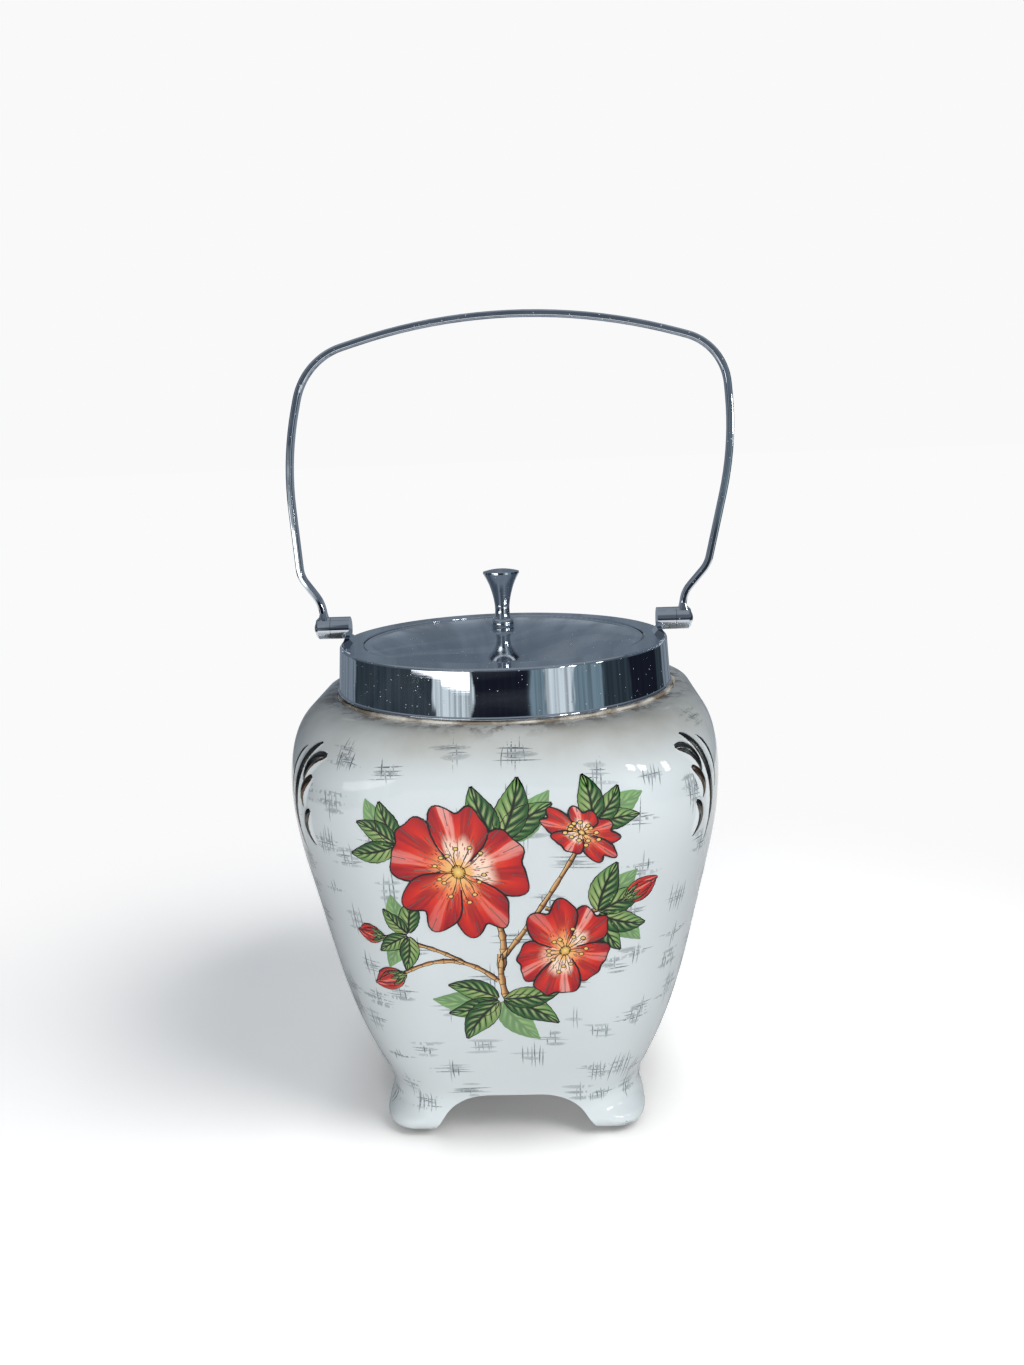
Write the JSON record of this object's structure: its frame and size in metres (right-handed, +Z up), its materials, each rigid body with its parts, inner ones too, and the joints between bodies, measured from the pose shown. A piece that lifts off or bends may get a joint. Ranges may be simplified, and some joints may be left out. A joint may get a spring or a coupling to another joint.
{
  "type": "biscuit jar",
  "caption": "Square-shouldered glazed earthenware jar on corner feet, with a chromed collar, drop-in domed lid with a knob, and an arched swing handle.",
  "frame": {"origin": "on the table, in the plane of the four feet, under the axis of the jar's neck", "axes": "+Z up along the neck's axis; the handle's hinge axis is along X; the decorated front faces -Y"},
  "size_m": [0.1469, 0.1352, 0.2662],
  "materials": {
    "glazed_earthenware": "gloss",
    "plaster": "matte",
    "chrome_plate": "polished",
    "bare_brass": "satin"
  },
  "bodies": {
    "jar": {"jar_body": "glazed_earthenware", "bedding_plaster": "plaster", "collar": "chrome_plate", "left_lug": "chrome_plate", "right_lug": "chrome_plate", "left_hinge_pin": "chrome_plate", "right_hinge_pin": "chrome_plate"},
    "bail": {"bail_handle": "chrome_plate", "left_bail_knuckle": "chrome_plate", "right_bail_knuckle": "chrome_plate"},
    "lid": {"lid_plate": "chrome_plate", "lid_skirt": "chrome_plate", "knob": "chrome_plate", "knob_washer": "bare_brass", "knob_screw": "bare_brass"}
  },
  "joints": [
    {"name": "bail_swing", "type": "hinge", "parent": "jar", "child": "bail", "pos_m": [0, 0, 0.1657], "axis": [1, 0, 0], "range_deg": [-134, 134]},
    {"name": "lid_lift", "type": "slide", "parent": "jar", "child": "lid", "axis": [0, 0, 1], "range_m": [0, 0.062]}
  ]
}
